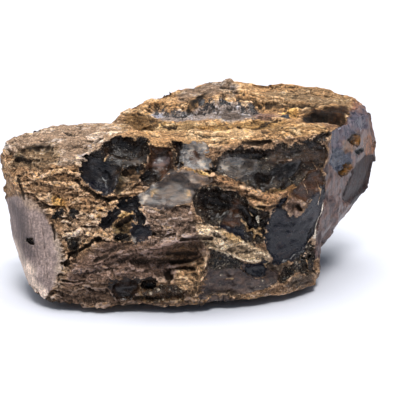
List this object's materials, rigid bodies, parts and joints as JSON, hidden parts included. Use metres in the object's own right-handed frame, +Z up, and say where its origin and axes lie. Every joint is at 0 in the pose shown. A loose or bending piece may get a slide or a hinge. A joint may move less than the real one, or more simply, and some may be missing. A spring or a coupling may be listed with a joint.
{
  "type": "raw copal",
  "caption": "Broken hand-sized lump of dark fossil tree resin: glassy dark panes and shell-shaped hollows under a brown layered bark-like crust, flat where it rests.",
  "frame": {"origin": "under the middle of the lump's bounding box, on the plane it rests on", "axes": "+X along the lump's length to its smooth right end, +Y to its hidden back, +Z up from the patches it rests on"},
  "size_m": [0.1129, 0.0656, 0.0553],
  "materials": {
    "copal": "rough brown crust with glossy near-black resin breaks"
  },
  "bodies": {
    "root": {"copal": "copal"}
  },
  "joints": []
}
